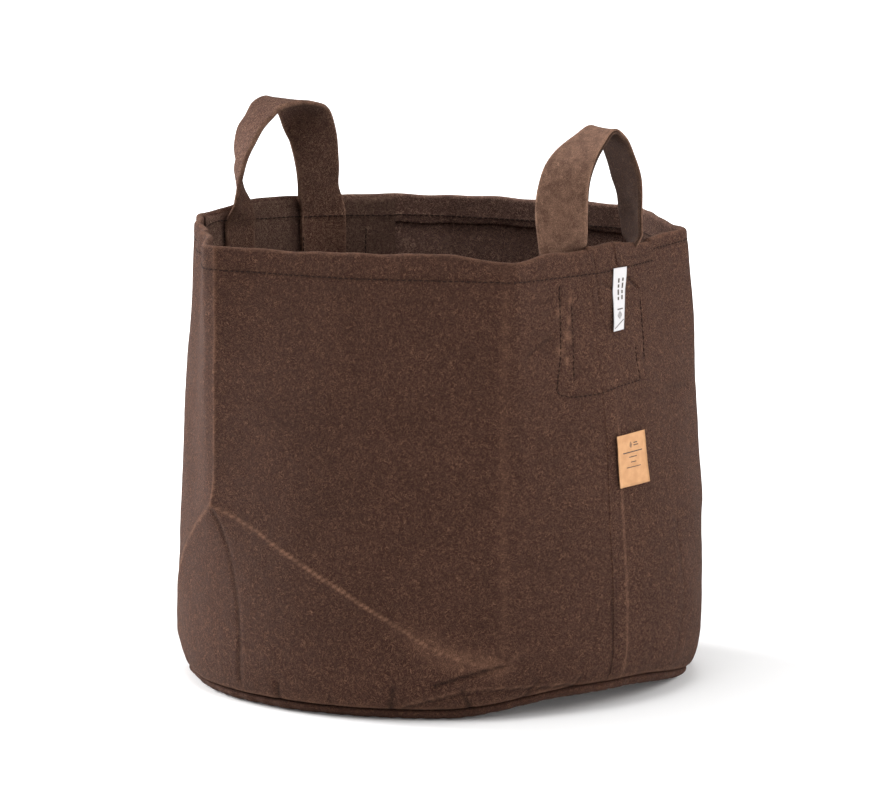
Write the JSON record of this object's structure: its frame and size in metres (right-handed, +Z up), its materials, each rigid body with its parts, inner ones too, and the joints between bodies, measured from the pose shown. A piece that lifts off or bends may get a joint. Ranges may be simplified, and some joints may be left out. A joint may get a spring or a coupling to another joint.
{
  "type": "fabric grow bag",
  "caption": "Open round-bottomed plant bag of thick dark felt with a folded hem, lapped side seam, strap handles and small labels.",
  "frame": {"origin": "middle of the bag's bounding box at the floor it stands on", "axes": "+Z up through the open mouth; the two handles lie at the +X and -X sides"},
  "size_m": [0.395, 0.3854, 0.4249],
  "materials": {
    "felt_wall": "matt needled felt",
    "felt_base": "matt needled felt",
    "felt_patch": "matt needled felt",
    "felt_strap": "matt needled felt, folded double",
    "thread_dark": "sewing thread",
    "tag_white": "woven satin ribbon",
    "card_kraft": "matt kraft paper"
  },
  "bodies": {
    "bag": {"wall_felt": "felt_wall", "base_felt": "felt_base", "patch_right": "felt_patch", "patch_left": "felt_patch", "strap_right_tail_near": "felt_strap", "strap_right_tail_far": "felt_strap", "strap_left_tail_near": "felt_strap", "strap_left_tail_far": "felt_strap", "label_card": "card_kraft", "hem_stitch": "thread_dark", "side_seam_stitch": "thread_dark", "base_seam_stitch": "thread_dark", "strap_right_stitch": "thread_dark", "strap_left_stitch": "thread_dark", "patch_right_stitch": "thread_dark", "patch_left_stitch": "thread_dark"},
    "right_handle": {"handle_right": "felt_strap"},
    "left_handle": {"handle_left": "felt_strap"},
    "tag": {"tag_woven": "tag_white"}
  },
  "joints": [
    {"name": "right_handle_fold", "type": "hinge", "parent": "bag", "child": "right_handle", "pos_m": [0.14894, 0.00295, 0.33691], "axis": [-0.0404, 0.9992, 0], "range_deg": [-140, 90]},
    {"name": "left_handle_fold", "type": "hinge", "parent": "bag", "child": "left_handle", "pos_m": [-0.17591, 0.02695, 0.33878], "axis": [-0.0795, -0.9968, 0], "range_deg": [-105, 90]},
    {"name": "tag_flap", "type": "hinge", "parent": "bag", "child": "tag", "pos_m": [0.16818, 0.00864, 0.31233], "axis": [0.0523, -0.9986, 0], "range_deg": [0, 150]}
  ]
}
